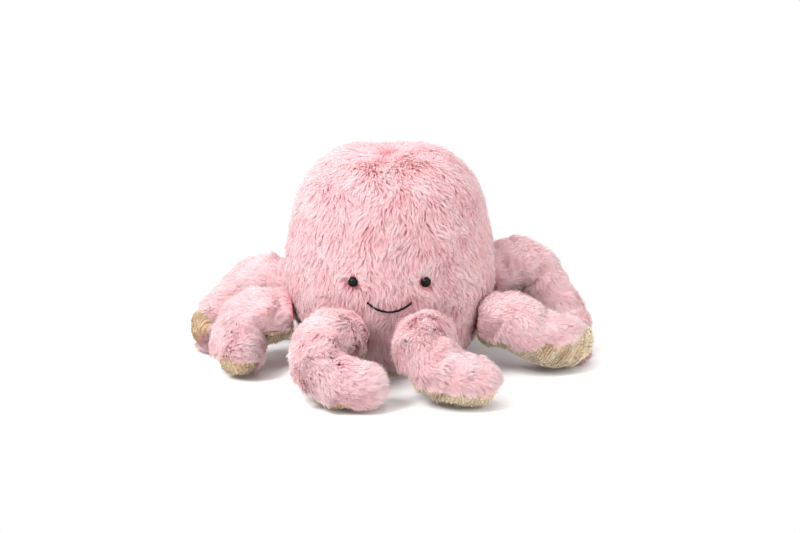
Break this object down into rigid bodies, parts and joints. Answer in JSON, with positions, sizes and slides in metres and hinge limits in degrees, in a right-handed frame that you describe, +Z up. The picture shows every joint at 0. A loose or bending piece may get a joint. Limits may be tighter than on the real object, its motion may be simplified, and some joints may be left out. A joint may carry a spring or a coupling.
{
  "type": "plush octopus",
  "caption": "Sitting plush octopus with a round fur head, a stitched smile, bead eyes and curling tentacles that have ribbed undersides.",
  "frame": {"origin": "middle of the flat base, on the surface that the toy sits on", "axes": "+Z up, the face looks towards -Y, +X is the viewer's right"},
  "size_m": [0.3581, 0.327, 0.195],
  "materials": {
    "pink_fur": "long soft pile, matte",
    "ribbed_beige_cloth": "short ribbed pile, matte",
    "polyester_fibre": "loose fibre",
    "pouch_cotton": "plain woven, matte",
    "black_plastic": "polished",
    "washer_plastic": "moulded",
    "black_thread": "satin stitch"
  },
  "bodies": {
    "body": {"face_fur_panel": "pink_fur", "back_fur_panel": "pink_fur", "left_side_fur_panel": "pink_fur", "right_side_fur_panel": "pink_fur", "base_panel": "ribbed_beige_cloth", "body_stuffing": "polyester_fibre", "pellet_pouch": "pouch_cotton", "left_eye": "black_plastic", "right_eye": "black_plastic", "left_eye_washer": "washer_plastic", "right_eye_washer": "washer_plastic", "mouth_stitching": "black_thread"},
    "front_left_root": {"front_left_root_fur": "pink_fur", "front_left_root_underside": "ribbed_beige_cloth", "front_left_root_stuffing": "polyester_fibre"},
    "front_left_tip": {"front_left_tip_fur": "pink_fur", "front_left_tip_underside": "ribbed_beige_cloth", "front_left_tip_stuffing": "polyester_fibre"},
    "front_right_root": {"front_right_root_fur": "pink_fur", "front_right_root_underside": "ribbed_beige_cloth", "front_right_root_stuffing": "polyester_fibre"},
    "front_right_tip": {"front_right_tip_fur": "pink_fur", "front_right_tip_underside": "ribbed_beige_cloth", "front_right_tip_stuffing": "polyester_fibre"},
    "right_front_root": {"right_front_root_fur": "pink_fur", "right_front_root_underside": "ribbed_beige_cloth", "right_front_root_stuffing": "polyester_fibre"},
    "right_front_tip": {"right_front_tip_fur": "pink_fur", "right_front_tip_underside": "ribbed_beige_cloth", "right_front_tip_stuffing": "polyester_fibre"},
    "right_back_root": {"right_back_root_fur": "pink_fur", "right_back_root_underside": "ribbed_beige_cloth", "right_back_root_stuffing": "polyester_fibre"},
    "right_back_tip": {"right_back_tip_fur": "pink_fur", "right_back_tip_underside": "ribbed_beige_cloth", "right_back_tip_stuffing": "polyester_fibre"},
    "back_right_root": {"back_right_root_fur": "pink_fur", "back_right_root_underside": "ribbed_beige_cloth", "back_right_root_stuffing": "polyester_fibre"},
    "back_right_tip": {"back_right_tip_fur": "pink_fur", "back_right_tip_underside": "ribbed_beige_cloth", "back_right_tip_stuffing": "polyester_fibre"},
    "back_left_root": {"back_left_root_fur": "pink_fur", "back_left_root_underside": "ribbed_beige_cloth", "back_left_root_stuffing": "polyester_fibre"},
    "back_left_tip": {"back_left_tip_fur": "pink_fur", "back_left_tip_underside": "ribbed_beige_cloth", "back_left_tip_stuffing": "polyester_fibre"},
    "left_back_root": {"left_back_root_fur": "pink_fur", "left_back_root_underside": "ribbed_beige_cloth", "left_back_root_stuffing": "polyester_fibre"},
    "left_back_tip": {"left_back_tip_fur": "pink_fur", "left_back_tip_underside": "ribbed_beige_cloth", "left_back_tip_stuffing": "polyester_fibre"},
    "left_front_root": {"left_front_root_fur": "pink_fur", "left_front_root_underside": "ribbed_beige_cloth", "left_front_root_stuffing": "polyester_fibre"},
    "left_front_tip": {"left_front_tip_fur": "pink_fur", "left_front_tip_underside": "ribbed_beige_cloth", "left_front_tip_stuffing": "polyester_fibre"}
  },
  "joints": [
    {"name": "front_left_lift", "type": "hinge", "parent": "body", "child": "front_left_root", "pos_m": [-0.03888, -0.0916, 0.046], "axis": [-0.9205, 0.3907, 0], "range_deg": [0, 15]},
    {"name": "front_left_curl", "type": "hinge", "parent": "front_left_root", "child": "front_left_tip", "pos_m": [-0.05746, -0.10978, 0.04269], "axis": [0, 0, -1], "range_deg": [0, 30]},
    {"name": "front_right_lift", "type": "hinge", "parent": "body", "child": "front_right_root", "pos_m": [0.03075, -0.09464, 0.046], "axis": [-0.9511, -0.309, 0], "range_deg": [0, 15]},
    {"name": "front_right_curl", "type": "hinge", "parent": "front_right_root", "child": "front_right_tip", "pos_m": [0.02866, -0.12055, 0.04269], "axis": [0, 0, -1], "range_deg": [0, 30]},
    {"name": "right_front_lift", "type": "hinge", "parent": "body", "child": "right_front_root", "pos_m": [0.09226, -0.03728, 0.046], "axis": [-0.3746, -0.9272, 0], "range_deg": [0, 18]},
    {"name": "right_front_curl", "type": "hinge", "parent": "right_front_root", "child": "right_front_tip", "pos_m": [0.12138, -0.04796, 0.03827], "axis": [0, 0, -1], "range_deg": [0, 30]},
    {"name": "right_back_lift", "type": "hinge", "parent": "body", "child": "right_back_root", "pos_m": [0.09464, 0.03075, 0.07028], "axis": [0.309, -0.9511, 0], "range_deg": [0, 8]},
    {"name": "right_back_curl", "type": "hinge", "parent": "right_back_root", "child": "right_back_tip", "pos_m": [0.12728, 0.04031, 0.06918], "axis": [0, 0, 1], "range_deg": [0, 30]},
    {"name": "back_right_lift", "type": "hinge", "parent": "body", "child": "back_right_root", "pos_m": [0.03888, 0.0916, 0.046], "axis": [0.9205, -0.3907, 0], "range_deg": [0, 18]},
    {"name": "back_right_curl", "type": "hinge", "parent": "back_right_root", "child": "back_right_tip", "pos_m": [0.05348, 0.12343, 0.03717], "axis": [0, 0, 1], "range_deg": [0, 30]},
    {"name": "back_left_lift", "type": "hinge", "parent": "body", "child": "back_left_root", "pos_m": [-0.03888, 0.0916, 0.046], "axis": [0.9205, 0.3907, 0], "range_deg": [0, 18]},
    {"name": "back_left_curl", "type": "hinge", "parent": "back_left_root", "child": "back_left_tip", "pos_m": [-0.05348, 0.12343, 0.03717], "axis": [0, 0, -1], "range_deg": [0, 30]},
    {"name": "left_back_lift", "type": "hinge", "parent": "body", "child": "left_back_root", "pos_m": [-0.09226, 0.03728, 0.05152], "axis": [0.3746, 0.9272, 0], "range_deg": [0, 12]},
    {"name": "left_back_curl", "type": "hinge", "parent": "left_back_root", "child": "left_back_tip", "pos_m": [-0.12602, 0.04984, 0.04997], "axis": [0, 0, -1], "range_deg": [0, 30]},
    {"name": "left_front_lift", "type": "hinge", "parent": "body", "child": "left_front_root", "pos_m": [-0.09655, -0.02407, 0.046], "axis": [-0.2419, 0.9703, 0], "range_deg": [0, 18]},
    {"name": "left_front_curl", "type": "hinge", "parent": "left_front_root", "child": "left_front_tip", "pos_m": [-0.12372, -0.02672, 0.04048], "axis": [0, 0, -1], "range_deg": [0, 30]}
  ]
}
